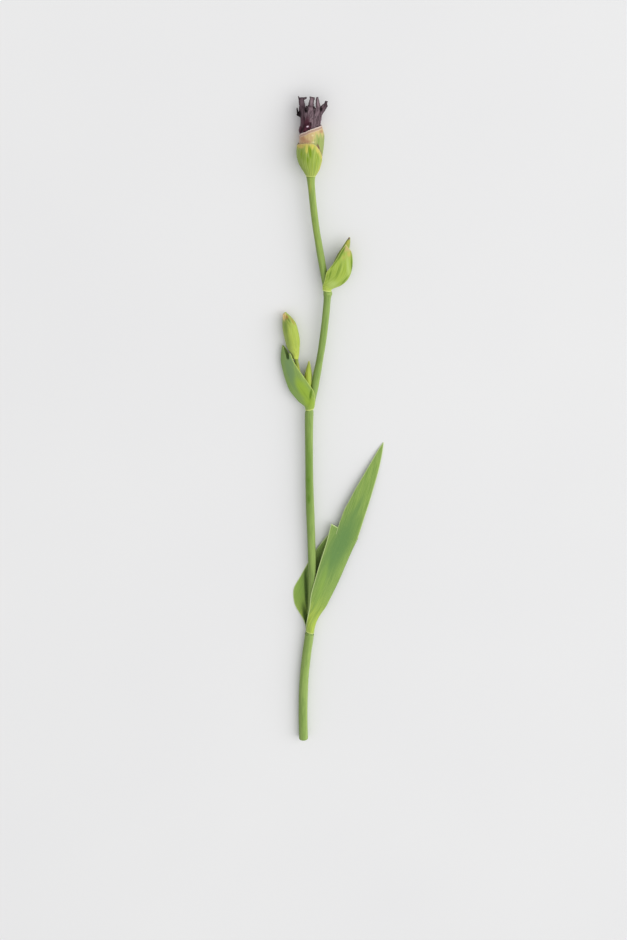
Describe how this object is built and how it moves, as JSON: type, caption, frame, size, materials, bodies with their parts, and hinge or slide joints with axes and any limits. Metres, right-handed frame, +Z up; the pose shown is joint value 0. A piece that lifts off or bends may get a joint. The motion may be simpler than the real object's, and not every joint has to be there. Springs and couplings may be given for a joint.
{
  "type": "bearded iris flowering stem",
  "caption": "Picked bearded iris stem lying flat: bare scape, clasping leaf, budded side shoots in green bracts and a dark ragged flower pushing out of its papery spathe.",
  "frame": {"origin": "under the middle of the bounding box, on the surface the stem lies on", "axes": "+Y up the stem from its cut end toward the flower, +X toward the side its leaf is on, +Z up from the surface"},
  "size_m": [0.1134, 0.7736, 0.0242],
  "materials": {
    "stem_tissue": "living stem skin, satin with a thin wax bloom",
    "leaf_tissue": "living leaf blade, satin with fine lengthwise veins",
    "bract_tissue": "living bract, satin, pale along its margins",
    "bud_tissue": "living bud sheath, satin, papery at the tip",
    "spathe_green": "living spathe valve, satin, yellow and papery at the rim",
    "spathe_papery": "spathe valve dried to matt tan paper toward its rim",
    "flower_tissue": "shrivelled petal, matt with a faint velvet sheen"
  },
  "bodies": {
    "root": {"scape": "stem_tissue", "stem_leaf": "leaf_tissue", "lower_bract": "bract_tissue", "axil_bractlet": "bract_tissue", "lower_bud": "bud_tissue", "lower_bud_valve": "bud_tissue", "upper_bract": "bract_tissue", "upper_bud": "bud_tissue", "head_outer_valve": "spathe_green", "head_inner_valve": "spathe_papery", "flower_tube": "flower_tissue", "outer_tepal_1": "flower_tissue", "outer_tepal_2": "flower_tissue", "outer_tepal_3": "flower_tissue", "inner_tepal_1": "flower_tissue", "inner_tepal_2": "flower_tissue", "inner_tepal_3": "flower_tissue"}
  },
  "joints": []
}
